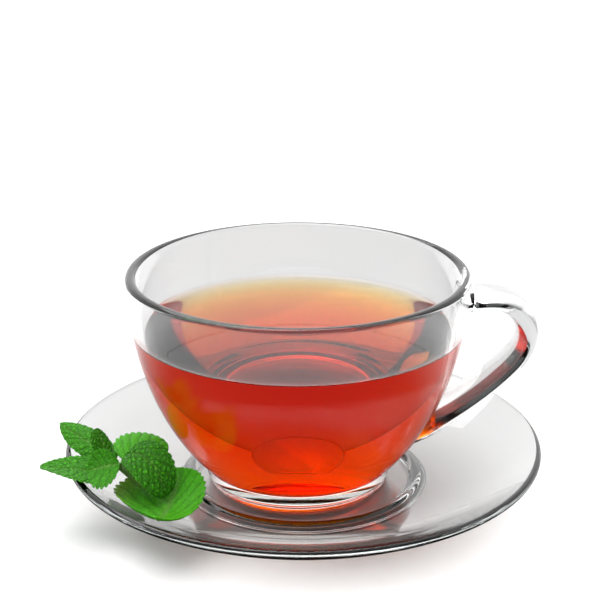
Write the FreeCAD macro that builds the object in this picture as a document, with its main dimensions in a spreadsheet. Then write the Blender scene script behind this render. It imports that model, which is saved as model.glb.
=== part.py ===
# A clear glass cup of black tea on its glass saucer, with a sprig of mint and one loose leaf.
# Millimetres, +Z up. The origin is on the saucer's axis, on the surface that it stands on; the
# cup's handle points along +X and the mint lies on the saucer's -X side.

import FreeCAD, Part
import math
import os
import Sketcher
from FreeCAD import Placement, Rotation, Vector

SIZES = {
    # the cup, measured from the flat of its own foot
    "cup_rim_radius": 49.5,
    "cup_height": 64.15,
    "cup_wall": 3.0,
    "cup_lip_round": 1.3,
    "bowl_pole_depth": 6.85,
    "bowl_pole_wall": 3.5,
    "bowl_floor": 5.2,
    "bowl_floor_round": 11.0,
    "foot_radius": 26.5,
    "foot_flare": 1.8,
    "foot_land": 4.5,
    "foot_hollow": 1.3,
    "foot_edge_round": 0.8,
    # the handle, whose centreline runs from the rim down to the bowl's lower wall
    "handle_drop": 8.1,
    "handle_reach": 17.2,
    "handle_top_bend": 10.5,
    "handle_side_bend": 11.5,
    "handle_limb_bend": 90.0,
    "handle_root_depth": 2.2,
    "handle_end_height": 15.6,
    "handle_end_depth": 2.4,
    "handle_width": 13.4,
    "handle_thickness": 6.8,
    # the tea, measured from the bowl's floor
    "tea_depth": 41.45,
    # the saucer
    "saucer_radius": 70.3,
    "saucer_height": 17.5,
    "saucer_glass": 2.7,
    "saucer_edge_round": 1.1,
    "flange_sag": 2.1,
    "well_top": 4.85,
    "well_play": 5.2,
    "cup_offset": 1.6,
    "ridge_width": 3.9,
    "ridge_height": 1.15,
    "ridge_step": 0.35,
    "saucer_foot_radius": 36.5,
    "saucer_foot_width": 4.0,
    "saucer_foot_hollow": 1.6,
    # the mint: what every leaf shares, and how the sprig and the loose leaf lie
    "leaf_thickness": 0.6,
    "leaf_end_width": 0.7,
    "stalk_radius": 0.95,
    "petiole_radius": 0.45,
    "sprig_from_cup": 4.5,
    "sprig_above_saucer": 0.15,
    "sprig_forward": 22.3,
    "loose_leaf_from_cup": 5.7,
    "loose_leaf_above_saucer": 0.7,
    "loose_leaf_forward": 39.6,
}

# Each leaf, from its own base: where that is on the sprig, the midrib's length, its heading and
# pitch and how far each turns on the way to the tip, and then the blade. Roll turns the blade
# about the midrib and twist adds to that towards the tip, curl bends it up across (down when
# negative), the two fullness powers shape its outline, lobe is the share of its width on the
# right and sweep leans the margins towards the tip.
LEAF_SIZES = (
    "across", "back", "up", "length", "heading", "turn", "pitch", "droop", "width", "roll",
    "twist", "curl", "base_fullness", "tip_fullness", "lobe", "sweep", "teeth", "tooth_depth",
)
LEAVES = {
    "left": (-1.2, -0.1, -1.7, 21.4, -172, -1, 9, -3, 15.2, 16, -28, 18, 0.47, 0.52, 0.78, 0.08, 13, 0.05),
    "cupped": (0.6, -4.8, 3.2, 9.4, -167, -21, -3, -19, 14.2, 32, 7, 46, 0.80, 0.82, 0.70, 0.01, 9, 0.08),
    "back_left": (-1.5, 4.1, 0.2, 26.8, 142, -14, 10, -8, 8.8, 30, 2, -25, 0.53, 0.69, 1.05, 0.10, 11, 0.04),
    "young": (-3.4, 1.0, 1.8, 9.5, 129, -10, 54, -9, 8.2, -24, -9, -13, 0.50, 0.65, 0.99, 0.19, 7, 0.05),
    "back": (1.7, 0.9, 0.8, 15.0, 66, -55, 16, -30, 13.8, -26, 5, -22, 0.38, 0.64, 0.78, 0.29, 12, 0.06),
    "arched": (1.1, -0.2, 1.8, 26.1, -51, 13, 62, -154, 12.2, -30, 21, -8, 0.53, 0.66, 1.05, 0.44, 14, 0.05),
    "loose": (0.6, -14.0, 4.4, 31.8, 87, -13, -42, 86, 27.0, -15, 52, 28, 0.95, 1.00, 0.75, 0.55, 15, 0.045),
}

# lengths that more than one feature is worked out from
OUTER_DROP = "(Sizes.cup_height + Sizes.bowl_pole_depth)"
INNER_DROP = "(Sizes.cup_height + Sizes.bowl_pole_depth - Sizes.bowl_pole_wall)"
INNER_RADIUS = "(Sizes.cup_rim_radius - Sizes.cup_wall)"
HANDLE_TOP = "(Sizes.cup_height - Sizes.handle_drop)"
HANDLE_OUT = "(Sizes.cup_rim_radius + Sizes.handle_reach)"
LIMB_END = (
    "(Sizes.cup_rim_radius * sqrt(1 - ((Sizes.cup_height - Sizes.handle_end_height)"
    f" / {OUTER_DROP})^2) - Sizes.handle_end_depth)"
)
WELL_RADIUS = "(Sizes.foot_radius + Sizes.well_play)"
RIDGE_OUT = f"({WELL_RADIUS} + Sizes.ridge_width)"
FLANGE_START = "(Sizes.well_top + Sizes.ridge_step)"


class Sizes:
    """The same dimensions as plain numbers, for first guesses and for the mint."""

    def __init__(self, sheet):
        for name in SIZES:
            setattr(self, name, float(getattr(sheet, name)))
        self.leaves = {
            leaf: {name: float(getattr(sheet, f"{leaf}_{name}")) for name in LEAF_SIZES}
            for leaf in LEAVES
        }
        self.outer_drop = self.cup_height + self.bowl_pole_depth
        self.inner_drop = self.outer_drop - self.bowl_pole_wall
        self.inner_radius = self.cup_rim_radius - self.cup_wall
        self.floor_radius = bowl_radius(
            self.inner_radius, self.inner_drop, self.cup_height, self.bowl_floor
        )
        self.well_radius = self.foot_radius + self.well_play
        self.ridge_out = self.well_radius + self.ridge_width
        self.flange_start = self.well_top + self.ridge_step


def make_sheet(doc):
    """The driving dimensions, one named cell each."""
    sheet = doc.addObject("Spreadsheet::Sheet", "Sizes")
    cells = dict(SIZES)
    for leaf, values in LEAVES.items():
        cells.update({f"{leaf}_{name}": value for name, value in zip(LEAF_SIZES, values)})
    for row, (name, value) in enumerate(cells.items(), start=1):
        sheet.set(f"A{row}", name)
        sheet.set(f"B{row}", str(value))
        sheet.setAlias(f"B{row}", name)
    doc.recompute()
    return sheet


# ---------------------------------------------------------------- sketching

ORIGIN, X_AXIS, Y_AXIS = (-1, 1), -1, -2
START, END, CENTRE = 1, 2, 3


def new_sketch(body, name, role, label_offset=None):
    """A sketch flat on one of the body's own origin planes."""
    plane = next(p for p in body.Origin.OriginFeatures if p.Role == role)
    sketch = body.newObject("Sketcher::SketchObject", name)
    sketch.AttachmentSupport = [(plane, "")]
    sketch.MapMode = "FlatFace"
    if label_offset:
        sketch.setExpression("AttachmentOffset.Base.z", label_offset)
    return sketch


def spot(sketch, item):
    """Where a point of the sketch is now."""
    if item == ORIGIN:
        return Vector(0, 0, 0)
    return sketch.getPoint(*item)


def add_line(sketch, first, last):
    return sketch.addGeometry(Part.LineSegment(Vector(*first, 0), Vector(*last, 0)), False)


def join(sketch, *pairs):
    for first, second in pairs:
        sketch.addConstraint(Sketcher.Constraint("Coincident", *first, *second))


def bind(sketch, kind, items, expression):
    """One dimension of the sketch, held at an expression on the sheet."""
    flat = []
    for item in items:
        flat.extend(item if isinstance(item, tuple) else (item,))
    if kind == "Radius":
        guess = sketch.Geometry[items[0]].Radius
    elif kind == "Distance":
        guess = sketch.Geometry[items[0]].length()
    else:
        gap = spot(sketch, items[1]) - spot(sketch, items[0])
        guess = gap.x if kind == "DistanceX" else gap.y
    index = sketch.addConstraint(Sketcher.Constraint(kind, *flat, guess))
    sketch.setExpression(f"Constraints[{index}]", expression)
    return index


def place_point(sketch, item, across=None, up=None):
    """Hold a point's two coordinates; None leaves one free and 0 puts it on the axis."""
    if across == 0:
        sketch.addConstraint(Sketcher.Constraint("PointOnObject", *item, Y_AXIS))
    elif across:
        bind(sketch, "DistanceX", (ORIGIN, item), across)
    if up == 0:
        sketch.addConstraint(Sketcher.Constraint("PointOnObject", *item, X_AXIS))
    elif up:
        bind(sketch, "DistanceY", (ORIGIN, item), up)


def bowl_radius(radius, drop, rim, height):
    """How wide the bowl's ellipse is at a height."""
    return radius * math.sqrt(1 - ((rim - height) / drop) ** 2)


def add_bowl_arc(sketch, radius, drop, rim, low, high, radius_as, drop_as):
    """The bowl's wall from the height low up to high, on an ellipse centred in the rim's plane."""
    centre = Vector(0, rim, 0)
    ellipse = Part.Ellipse(Vector(0, rim - drop, 0), Vector(radius, rim, 0), centre)
    ends = [
        ellipse.parameter(Vector(bowl_radius(radius, drop, rim, height), height, 0))
        for height in (low, high)
    ]
    arc = sketch.addGeometry(Part.ArcOfEllipse(ellipse, *ends), False)
    sketch.exposeInternalGeometry(arc)
    major, minor = arc + 1, arc + 2
    place_point(sketch, (arc, CENTRE), across=0, up="Sizes.cup_height")
    sketch.addConstraint(Sketcher.Constraint("PointOnObject", major, START, Y_AXIS))
    bind(sketch, "Distance", (major,), f"2 * {drop_as}")
    bind(sketch, "Distance", (minor,), f"2 * {radius_as}")
    return arc


def circle_edges(shape, *wanted):
    """The names of the full circles about the axis at each (radius, height)."""
    names = []
    for index, edge in enumerate(shape.Edges, start=1):
        if not isinstance(edge.Curve, Part.Circle):
            continue
        curve = edge.Curve
        for radius, height in wanted:
            level = abs(curve.Center.z - height) < 0.01 and abs(curve.Radius - radius) < 0.01
            if level and abs(curve.Center.x) < 0.01:
                names.append(f"Edge{index}")
    return names


def add_fillet(doc, body, base, name, radius_as, edges):
    fillet = body.newObject("PartDesign::Fillet", name)
    fillet.Base = (base, edges)
    fillet.setExpression("Radius", radius_as)
    doc.recompute()
    return fillet


def revolve(body, kind, name, sketch):
    feature = body.newObject(kind, name)
    feature.Profile = sketch
    feature.ReferenceAxis = (sketch, ["V_Axis"])
    feature.Angle = 360.0
    return feature


# ---------------------------------------------------------------- the cup

def cup_outside(body, size):
    """Foot, bowl and the solid glass inside them, as one turned section."""
    rim, top_radius = size.cup_height, size.foot_radius + size.foot_flare
    inner_foot = size.foot_radius - size.foot_land
    flare_top = rim - size.outer_drop * math.sqrt(1 - (top_radius / size.cup_rim_radius) ** 2)
    sketch = new_sketch(body, "CupOutside", "XZ_Plane")
    wall = add_bowl_arc(
        sketch, size.cup_rim_radius, size.outer_drop, rim, flare_top, rim,
        "Sizes.cup_rim_radius", OUTER_DROP,
    )
    top = add_line(sketch, (0, rim), (size.cup_rim_radius, rim))
    axis = add_line(sketch, (0, size.foot_hollow), (0, rim))
    hollow = add_line(sketch, (inner_foot, size.foot_hollow), (0, size.foot_hollow))
    step = add_line(sketch, (inner_foot, 0), (inner_foot, size.foot_hollow))
    land = add_line(sketch, (size.foot_radius, 0), (inner_foot, 0))
    flare = add_line(sketch, (top_radius, flare_top), (size.foot_radius, 0))
    join(
        sketch, ((wall, END), (top, END)), ((top, START), (axis, END)),
        ((axis, START), (hollow, END)), ((hollow, START), (step, END)),
        ((step, START), (land, END)), ((land, START), (flare, END)),
        ((flare, START), (wall, START)),
    )
    for line in (top, hollow):
        sketch.addConstraint(Sketcher.Constraint("Horizontal", line))
    sketch.addConstraint(Sketcher.Constraint("Vertical", step))
    place_point(sketch, (axis, START), across=0, up="Sizes.foot_hollow")
    place_point(sketch, (axis, END), across=0, up="Sizes.cup_height")
    place_point(sketch, (land, START), across="Sizes.foot_radius", up=0)
    place_point(sketch, (land, END), across="Sizes.foot_radius - Sizes.foot_land", up=0)
    place_point(sketch, (flare, START), across="Sizes.foot_radius + Sizes.foot_flare")
    return sketch


def handle_path(body, size):
    """The handle's centreline: out from the wall, round two bends, and back along a slow arc."""
    top = size.cup_height - size.handle_drop
    root = size.cup_rim_radius * math.sqrt(1 - (size.handle_drop / size.outer_drop) ** 2)
    root -= size.handle_root_depth
    out = size.cup_rim_radius + size.handle_reach
    first, second = size.handle_top_bend, size.handle_side_bend
    knee_turn = math.radians(46)
    knee_height = top - first
    knee = Vector(
        out - second + second * math.cos(knee_turn), knee_height - second * math.sin(knee_turn), 0
    )
    inward = Vector(-math.cos(knee_turn), math.sin(knee_turn), 0)
    limb_centre = knee + inward * size.handle_limb_bend
    sketch = new_sketch(body, "HandlePath", "XZ_Plane")
    run = add_line(sketch, (root, top), (out - first, top))
    bend = sketch.addGeometry(Part.ArcOfCircle(
        Part.Circle(Vector(out - first, knee_height, 0), Vector(0, 0, 1), first), 0, math.pi / 2
    ), False)
    side = sketch.addGeometry(Part.ArcOfCircle(
        Part.Circle(Vector(out - second, knee_height, 0), Vector(0, 0, 1), second), -knee_turn, 0
    ), False)
    limb = sketch.addGeometry(Part.ArcOfCircle(
        Part.Circle(limb_centre, Vector(0, 0, 1), size.handle_limb_bend),
        -knee_turn - 0.36, -knee_turn
    ), False)
    sketch.addConstraint(Sketcher.Constraint("Horizontal", run))
    for first_item, second_item in (
        ((run, END), (bend, END)), ((bend, START), (side, END)), ((side, START), (limb, END)),
    ):
        sketch.addConstraint(Sketcher.Constraint("Tangent", *first_item, *second_item))
    wall_as = (
        f"Sizes.cup_rim_radius * sqrt(1 - (Sizes.handle_drop / {OUTER_DROP})^2)"
        " - Sizes.handle_root_depth"
    )
    place_point(sketch, (run, START), across=wall_as, up=HANDLE_TOP)
    place_point(sketch, (bend, START), across=HANDLE_OUT)
    bind(sketch, "Radius", (bend,), "Sizes.handle_top_bend")
    bind(sketch, "Radius", (side,), "Sizes.handle_side_bend")
    bind(sketch, "Radius", (limb,), "Sizes.handle_limb_bend")
    sketch.addConstraint(Sketcher.Constraint("Horizontal", bend, CENTRE, bend, START))
    place_point(sketch, (limb, START), across=LIMB_END, up="Sizes.handle_end_height")
    return sketch, wall_as


def handle_section(body, size, root_as):
    """A flat strap with fully rounded edges, across the start of the handle's path."""
    top = size.cup_height - size.handle_drop
    half = size.handle_thickness / 2
    reach = size.handle_width / 2 - half
    sketch = new_sketch(body, "HandleSection", "YZ_Plane", root_as)
    upper = add_line(sketch, (-reach, top + half), (reach, top + half))
    lower = add_line(sketch, (reach, top - half), (-reach, top - half))
    right = sketch.addGeometry(Part.ArcOfCircle(
        Part.Circle(Vector(reach, top, 0), Vector(0, 0, 1), half), -math.pi / 2, math.pi / 2
    ), False)
    left = sketch.addGeometry(Part.ArcOfCircle(
        Part.Circle(Vector(-reach, top, 0), Vector(0, 0, 1), half), math.pi / 2, 3 * math.pi / 2
    ), False)
    for first_item, second_item in (
        ((upper, END), (right, END)), ((right, START), (lower, START)),
        ((lower, END), (left, END)), ((left, START), (upper, START)),
    ):
        sketch.addConstraint(Sketcher.Constraint("Tangent", *first_item, *second_item))
    sketch.addConstraint(Sketcher.Constraint("Horizontal", upper))
    bind(sketch, "Radius", (right,), "Sizes.handle_thickness / 2")
    reach_as = "(Sizes.handle_width - Sizes.handle_thickness) / 2"
    place_point(sketch, (right, CENTRE), across=reach_as, up=HANDLE_TOP)
    bind(sketch, "DistanceX", ((left, CENTRE), ORIGIN), reach_as)
    return sketch


def inside_wall(body, size, name, high):
    """The bowl's inside as an open section: flat floor, then the elliptical wall up to high."""
    sketch = new_sketch(body, name, "XZ_Plane")
    wall = add_bowl_arc(
        sketch, size.inner_radius, size.inner_drop, size.cup_height, size.bowl_floor, high,
        INNER_RADIUS, INNER_DROP,
    )
    floor = add_line(sketch, (0, size.bowl_floor), (size.floor_radius, size.bowl_floor))
    join(sketch, ((floor, END), (wall, START)))
    sketch.addConstraint(Sketcher.Constraint("Horizontal", floor))
    place_point(sketch, (floor, START), across=0, up="Sizes.bowl_floor")
    return sketch, wall, floor


def round_floor(doc, body, base, size):
    """The same generous round between floor and wall, in the glass and in what fills it."""
    edge = circle_edges(base.Shape, (size.floor_radius, size.bowl_floor))
    return add_fillet(doc, body, base, body.Name + "FloorRound", "Sizes.bowl_floor_round", edge)


def cavity_section(body, size):
    """The whole hollow of the bowl, carried a little past the rim."""
    sketch, wall, floor = inside_wall(body, size, "BowlHollow", size.cup_height)
    above = size.cup_height + size.cup_wall
    side = add_line(sketch, (size.inner_radius, size.cup_height), (size.inner_radius, above))
    top = add_line(sketch, (size.inner_radius, above), (0, above))
    axis = add_line(sketch, (0, above), (0, size.bowl_floor))
    join(
        sketch, ((wall, END), (side, START)), ((side, END), (top, START)),
        ((top, END), (axis, START)), ((axis, END), (floor, START)),
    )
    sketch.addConstraint(Sketcher.Constraint("Vertical", side))
    sketch.addConstraint(Sketcher.Constraint("Horizontal", top))
    place_point(sketch, (wall, END), up="Sizes.cup_height")
    place_point(sketch, (top, END), across=0, up="Sizes.cup_height + Sizes.cup_wall")
    return sketch


def make_cup(doc, size):
    """Cup, handle and foot are one piece of glass; the bowl is hollowed after the handle is on."""
    body = doc.addObject("PartDesign::Body", "Cup")
    body.Label = "cup"
    revolve(body, "PartDesign::Revolution", "CupTurned", cup_outside(body, size))
    doc.recompute()
    path, root_as = handle_path(body, size)
    section = handle_section(body, size, root_as)
    doc.recompute()
    handle = body.newObject("PartDesign::AdditivePipe", "Handle")
    handle.Profile = section
    handle.Spine = path
    handle.Mode = "Frenet"
    doc.recompute()
    hollow = revolve(body, "PartDesign::Groove", "Bowl", cavity_section(body, size))
    doc.recompute()
    rounded = round_floor(doc, body, hollow, size)
    rim_edges = circle_edges(
        rounded.Shape, (size.cup_rim_radius, size.cup_height), (size.inner_radius, size.cup_height)
    )
    lip = add_fillet(doc, body, rounded, "Lip", "Sizes.cup_lip_round", rim_edges)
    foot_edges = circle_edges(
        lip.Shape, (size.foot_radius, 0), (size.foot_radius - size.foot_land, 0)
    )
    add_fillet(doc, body, lip, "FootEdges", "Sizes.foot_edge_round", foot_edges)
    stand_in_well(body)
    return body


def stand_in_well(body):
    """Put a piece of the cup on the saucer's well, as far off centre as the cup stands."""
    body.setExpression("Placement.Base.x", "-Sizes.cup_offset")
    body.setExpression("Placement.Base.z", "Sizes.well_top")


# ---------------------------------------------------------------- the tea

def make_tea(doc, size):
    """The drink fills the bowl from its rounded floor to its level."""
    level = size.bowl_floor + size.tea_depth
    level_as = "Sizes.bowl_floor + Sizes.tea_depth"
    level_radius = bowl_radius(size.inner_radius, size.inner_drop, size.cup_height, level)
    body = doc.addObject("PartDesign::Body", "Tea")
    body.Label = "tea"
    sketch, wall, floor = inside_wall(body, size, "TeaSection", level)
    surface = add_line(sketch, (level_radius, level), (0, level))
    axis = add_line(sketch, (0, level), (0, size.bowl_floor))
    join(
        sketch, ((wall, END), (surface, START)), ((surface, END), (axis, START)),
        ((axis, END), (floor, START)),
    )
    sketch.addConstraint(Sketcher.Constraint("Horizontal", surface))
    place_point(sketch, (axis, START), across=0, up=level_as)
    filled = revolve(body, "PartDesign::Revolution", "TeaTurned", sketch)
    doc.recompute()
    round_floor(doc, body, filled, size)
    stand_in_well(body)
    return body


# ---------------------------------------------------------------- the saucer

def add_sagging_arc(sketch, first, last, sag):
    """An arc from first to last that curves below its chord by sag (above it when negative)."""
    across, rise = last[0] - first[0], last[1] - first[1]
    chord = math.hypot(across, rise)
    middle = Vector(
        (first[0] + last[0]) / 2 + rise / chord * sag, (first[1] + last[1]) / 2 - across / chord * sag, 0
    )
    arc = Part.Arc(Vector(*first, 0), middle, Vector(*last, 0))
    return sketch.addGeometry(arc, False)


def make_saucer(doc, size):
    """A turned glass saucer: foot ring, well with a ridge around it, and a flange that curves up."""
    body = doc.addObject("PartDesign::Body", "Saucer")
    body.Label = "saucer"
    foot_in = size.saucer_foot_radius - size.saucer_foot_width
    under = size.flange_start - size.saucer_glass
    rim_low = size.saucer_height - size.saucer_glass
    sketch = new_sketch(body, "SaucerSection", "XZ_Plane")
    hollow = add_line(sketch, (0, size.saucer_foot_hollow), (foot_in, size.saucer_foot_hollow))
    inside = add_line(sketch, (foot_in, size.saucer_foot_hollow), (foot_in, 0))
    land = add_line(sketch, (foot_in, 0), (size.saucer_foot_radius, 0))
    outside = add_line(sketch, (size.saucer_foot_radius, 0), (size.saucer_foot_radius, under))
    below = add_sagging_arc(
        sketch, (size.saucer_foot_radius, under), (size.saucer_radius, rim_low), size.flange_sag
    )
    edge = add_line(sketch, (size.saucer_radius, rim_low), (size.saucer_radius, size.saucer_height))
    flange = add_sagging_arc(
        sketch, (size.ridge_out, size.flange_start), (size.saucer_radius, size.saucer_height),
        size.flange_sag,
    )
    ridge_sag = -size.ridge_height
    ridge = add_sagging_arc(
        sketch, (size.well_radius, size.well_top), (size.ridge_out, size.flange_start), ridge_sag
    )
    well = add_line(sketch, (size.well_radius, size.well_top), (0, size.well_top))
    axis = add_line(sketch, (0, size.well_top), (0, size.saucer_foot_hollow))
    join(
        sketch, ((hollow, END), (inside, START)), ((inside, END), (land, START)),
        ((land, END), (outside, START)), ((outside, END), (below, START)),
        ((below, END), (edge, START)), ((edge, END), (flange, END)),
        ((flange, START), (ridge, START)), ((ridge, END), (well, START)),
        ((well, END), (axis, START)), ((axis, END), (hollow, START)),
    )
    for line in (hollow, well):
        sketch.addConstraint(Sketcher.Constraint("Horizontal", line))
    for line in (inside, outside, edge):
        sketch.addConstraint(Sketcher.Constraint("Vertical", line))
    foot_as = "Sizes.saucer_foot_radius"
    rim_low_as = "Sizes.saucer_height - Sizes.saucer_glass"
    under_as = f"{FLANGE_START} - Sizes.saucer_glass"
    place_point(sketch, (axis, END), across=0, up="Sizes.saucer_foot_hollow")
    place_point(sketch, (axis, START), across=0, up="Sizes.well_top")
    place_point(sketch, (land, START), across=f"{foot_as} - Sizes.saucer_foot_width", up=0)
    place_point(sketch, (land, END), across=foot_as, up=0)
    place_point(sketch, (below, START), up=under_as)
    place_point(sketch, (edge, START), across="Sizes.saucer_radius", up=rim_low_as)
    place_point(sketch, (edge, END), up="Sizes.saucer_height")
    place_point(sketch, (flange, START), across=RIDGE_OUT, up=FLANGE_START)
    place_point(sketch, (well, START), across=WELL_RADIUS)
    chord = "(({})^2 + ({})^2) / (8 * {}) + {} / 2"
    rise_as = f"Sizes.saucer_height - {FLANGE_START}"
    sag_as, ridge_as = "Sizes.flange_sag", "Sizes.ridge_height"
    span_as = f"Sizes.saucer_radius - {foot_as}"
    bind(sketch, "Radius", (below,), chord.format(span_as, rise_as, sag_as, sag_as))
    span_as = f"Sizes.saucer_radius - {RIDGE_OUT}"
    bind(sketch, "Radius", (flange,), chord.format(span_as, rise_as, sag_as, sag_as))
    bind(sketch, "Radius", (ridge,), chord.format(
        "Sizes.ridge_width", "Sizes.ridge_step", ridge_as, ridge_as
    ))
    turned = revolve(body, "PartDesign::Revolution", "SaucerTurned", sketch)
    doc.recompute()
    edges = circle_edges(
        turned.Shape, (size.saucer_radius, rim_low), (size.saucer_radius, size.saucer_height)
    )
    add_fillet(doc, body, turned, "SaucerEdge", "Sizes.saucer_edge_round", edges)
    return body


# ---------------------------------------------------------------- the mint

ROWS, COLUMNS = 3, 4     # of a leaf's facets: along each tooth, and across the blade


def swing(start, change, along):
    """The integral of cos(start + change * t) for t from 0 to along."""
    half = change * along / 2
    return along * math.cos(start + half) * (math.sin(half) / half if half else 1)


def midrib_frame(leaf, along):
    """A point of the midrib, whose heading and pitch change evenly, with the blade's directions."""
    heading, turn = math.radians(leaf["heading"]), math.radians(leaf["turn"])
    pitch, droop = math.radians(leaf["pitch"]), math.radians(leaf["droop"])
    quarter = math.pi / 2
    rising, falling = pitch + heading, pitch - heading
    point = Vector(
        swing(rising, droop + turn, along) + swing(falling, droop - turn, along),
        swing(rising - quarter, droop + turn, along) - swing(falling - quarter, droop - turn, along),
        2 * swing(pitch - quarter, droop, along),
    ) * (leaf["length"] / 2)
    heading, pitch = heading + turn * along, pitch + droop * along
    ahead = Vector(
        math.cos(pitch) * math.cos(heading), math.cos(pitch) * math.sin(heading), math.sin(pitch)
    )
    right = Vector(math.sin(heading), -math.cos(heading), 0)
    face = right.cross(ahead)
    roll = math.radians(leaf["roll"] + leaf["twist"] * along)
    rolled = right * math.cos(roll) + face * math.sin(roll)
    return point, ahead, rolled, face * math.cos(roll) - right * math.sin(roll)


def half_width(leaf, along, side, end):
    """From midrib to margin: a rounded blade, lopsided by its lobe, with blunt teeth."""
    low, high = leaf["base_fullness"], leaf["tip_fullness"]
    widest = low / (low + high)
    share = along ** low * (1 - along) ** high / (widest ** low * (1 - widest) ** high)
    lobe = leaf["lobe"] if side > 0 else 2 - leaf["lobe"]
    tooth = (along * leaf["teeth"]) % 1.0
    bump = leaf["tooth_depth"] * (1 - (2 * tooth - 1) ** 2)
    near_margin = max(0.0, (abs(side) - 0.6) / 0.4)
    return max(leaf["width"] / 2 * share * lobe * (1 + bump * near_margin), end / 2)


def leaf_point(leaf, along, side, end, above):
    """A point of the blade, side running from -1 to 1 across it, above its middle surface."""
    middle, ahead, right, face = midrib_frame(leaf, along)
    half = half_width(leaf, along, side, end)
    curl = math.radians(leaf["curl"])
    across = math.sin(curl * side) / curl
    lift = (1 - math.cos(curl * side)) / curl
    outward = face * math.cos(curl * side) - right * math.sin(curl * side)
    flat = middle + right * (half * across) + face * (half * lift) + outward * above
    base = Vector(leaf["across"], leaf["back"], leaf["up"])
    return base + flat + ahead * (leaf["sweep"] * half * abs(side))


def leaf_grid(leaf, size, above):
    """Rows of points from base to tip, each from the left margin to the right."""
    steps = int(leaf["teeth"]) * ROWS
    sides = [2 * column / COLUMNS - 1 for column in range(COLUMNS + 1)]
    return [
        [leaf_point(leaf, row / steps, side, size.leaf_end_width, above) for side in sides]
        for row in range(steps + 1)
    ]


def facets(rows):
    """Two triangles for every four neighbours in rows of point numbers."""
    found = []
    for near, far in zip(rows, rows[1:]):
        for (a, b), (c, d) in zip(zip(near, near[1:]), zip(far, far[1:])):
            found += [(a, b, d), (a, d, c)]
    return found


def leaf_solid(leaf, size):
    """Facets over both faces of the blade, a leaf's thickness apart, and round its margin."""
    half = size.leaf_thickness / 2
    points, faces, margins = [], [], []
    for above in (half, -half):
        grid = leaf_grid(leaf, size, above)
        start, across = len(points), COLUMNS + 1
        rows = [range(start + row * across, start + (row + 1) * across) for row in range(len(grid))]
        points += sum(grid, [])
        faces += facets(rows)
        right = [row[-1] for row in rows]
        left = [row[0] for row in reversed(rows)]
        margins.append(list(rows[0]) + right[1:] + list(reversed(rows[-1]))[1:] + left[1:])
    faces += facets(margins)
    shell = Part.Shape()
    shell.makeShapeFromMesh((points, faces), 0.001)
    solid = Part.Solid(Part.Shell(shell.Faces))
    if solid.Volume < 0:
        solid.reverse()
    return solid


def stalk_points(size):
    """The sprig's stalk, from its tip between the youngest leaves down to its cut end."""
    young = size.leaves["young"]
    tip = Vector(young["across"], young["back"], young["up"])
    node = Vector(0, 0, 0)
    return tip, node, Vector(4.5, -4.0, -1.8), Vector(11.0, -9.5, -3.4)


def stalk_solid(size):
    """A round stalk with a short petiole to each leaf that grows from its upper end."""
    curve = Part.BSplineCurve()
    curve.interpolate(list(stalk_points(size)))
    path = Part.Wire([curve.toShape()])
    start, ahead = curve.value(curve.FirstParameter), curve.tangent(curve.FirstParameter)[0]
    ring = Part.Wire([Part.makeCircle(size.stalk_radius, start, ahead)])
    stalk = path.makePipeShell([ring], True, False)
    petioles = []
    for name in ("left", "cupped", "back_left", "back", "arched"):
        leaf = size.leaves[name]
        base = Vector(leaf["across"], leaf["back"], leaf["up"])
        petioles.append(Part.makeCylinder(size.petiole_radius, base.Length, Vector(0, 0, 0), base))
    return stalk.multiFuse(petioles).removeSplitter()


def saucer_top(radius, size):
    """How high the saucer's upper side is at a radius, taking the flange's sag as none."""
    if radius > size.saucer_radius:
        return 0.0
    share = max(0.0, (radius - size.ridge_out) / (size.saucer_radius - size.ridge_out))
    chord = size.saucer_height - size.flange_start
    sag = 4 * size.flange_sag * share * (1 - share)
    return size.flange_start + chord * share - sag


def lay_down(points, size, from_cup, above_saucer, forward):
    """Where points given about a centre come to lie: that high over the saucer, that far from
    the bowl, and that far forward."""
    place = Vector(-size.saucer_radius, -forward, size.saucer_height)
    for _ in range(12):
        place.z = above_saucer + max(
            saucer_top(math.hypot(point.x + place.x, point.y + place.y), size) - point.z
            for point in points
        )
        clear = []
        for point in points:
            height = min(point.z + place.z - size.well_top, size.cup_height)
            bowl = bowl_radius(size.cup_rim_radius, size.outer_drop, size.cup_height, height)
            sideways = point.y + place.y
            if bowl + from_cup > abs(sideways):
                reach = math.sqrt((bowl + from_cup) ** 2 - sideways ** 2)
                clear.append(-size.cup_offset - reach - point.x)
        place.x = min(clear)
    return place


def add_mint_piece(doc, label, solid, place):
    piece = doc.addObject("Part::Feature", label.title().replace("_", ""))
    piece.Label = label
    piece.Shape = solid
    piece.Placement = Placement(place, Rotation())
    return piece


def make_mint(doc, size):
    """The sprig lies over the flange on the side away from the handle, over a leaf come loose."""
    grids = {name: sum(leaf_grid(leaf, size, 0.0), []) for name, leaf in size.leaves.items()}
    loose_place = lay_down(
        grids.pop("loose"), size, size.loose_leaf_from_cup, size.loose_leaf_above_saucer,
        size.loose_leaf_forward,
    )
    sprig_place = lay_down(
        sum(grids.values(), []), size, size.sprig_from_cup, size.sprig_above_saucer,
        size.sprig_forward,
    )
    pieces = [add_mint_piece(doc, "mint_stem", stalk_solid(size), sprig_place)]
    for name, leaf in size.leaves.items():
        place = loose_place if name == "loose" else sprig_place
        pieces.append(add_mint_piece(doc, f"mint_leaf_{name}", leaf_solid(leaf, size), place))
    return pieces


def check(doc, pieces):
    """Stop before anything is written if a feature failed or a piece isn't one sound solid."""
    for item in doc.Objects:
        if "Invalid" in item.State or "Error" in item.State:
            raise RuntimeError(f"{item.Name} failed: {item.State}")
    for piece in pieces:
        shape = piece.Shape
        if shape.isNull() or not shape.isValid() or len(shape.Solids) != 1:
            raise RuntimeError(f"{piece.Label} is not one valid solid")
        print(f"{piece.Label}: {shape.Volume:.0f} mm3")


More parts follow.
